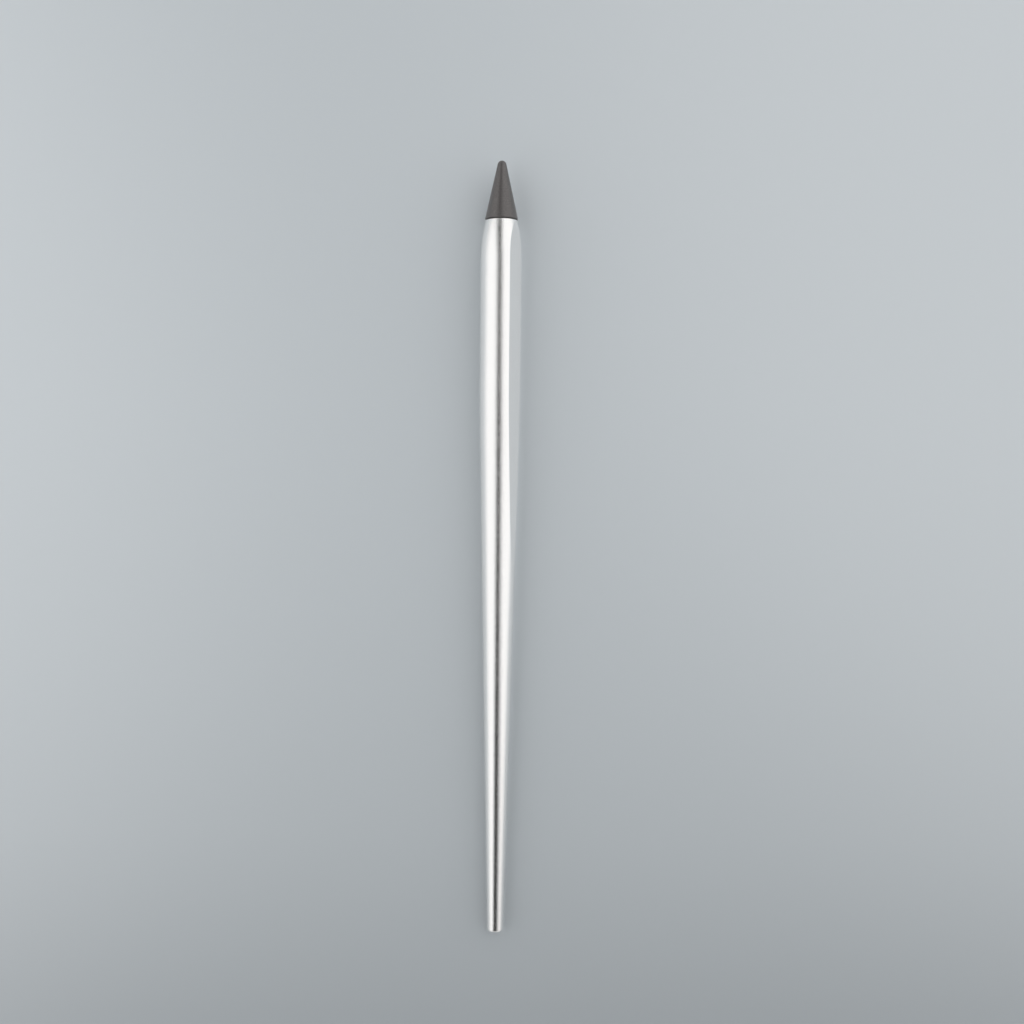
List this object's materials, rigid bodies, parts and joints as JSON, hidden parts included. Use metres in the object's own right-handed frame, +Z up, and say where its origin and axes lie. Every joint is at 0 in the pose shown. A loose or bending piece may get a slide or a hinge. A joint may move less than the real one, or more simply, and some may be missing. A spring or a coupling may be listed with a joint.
{
  "type": "inkless metal pencil",
  "caption": "Slim tapered aluminium pencil with a milled grip flat and a dark conical graphite-alloy nib that unscrews from the barrel",
  "frame": {"origin": "on the surface that the grip rests on, under the middle of the pencil's length", "axes": "+Y along the pencil's axis towards the nib, +X to the side that the grip flat faces, +Z up; the axis is level, 4.17 mm above the origin"},
  "size_m": [0.0083, 0.158, 0.0083],
  "materials": {
    "barrel_aluminium": "satin",
    "nib_graphite": "satin",
    "stud_brass": "satin",
    "ring_rubber": "matte"
  },
  "bodies": {
    "barrel": {"barrel": "barrel_aluminium"},
    "ring": {"nib_o_ring": "ring_rubber"},
    "nib": {"nib_cone": "nib_graphite", "nib_stud": "stud_brass"}
  },
  "joints": [
    {"name": "nib_advance", "type": "slide", "parent": "barrel", "child": "ring", "axis": [0, 1, 0], "range_m": [0, 0.0077]},
    {"name": "nib_turn", "type": "hinge", "parent": "ring", "child": "nib", "pos_m": [0, 0.06698, 0.00417], "axis": [0, 1, 0], "range_deg": [0, 3960]}
  ],
  "couplings": [
    {"joint": "nib_turn", "follows": "nib_advance", "rad_per_m": 8976}
  ]
}
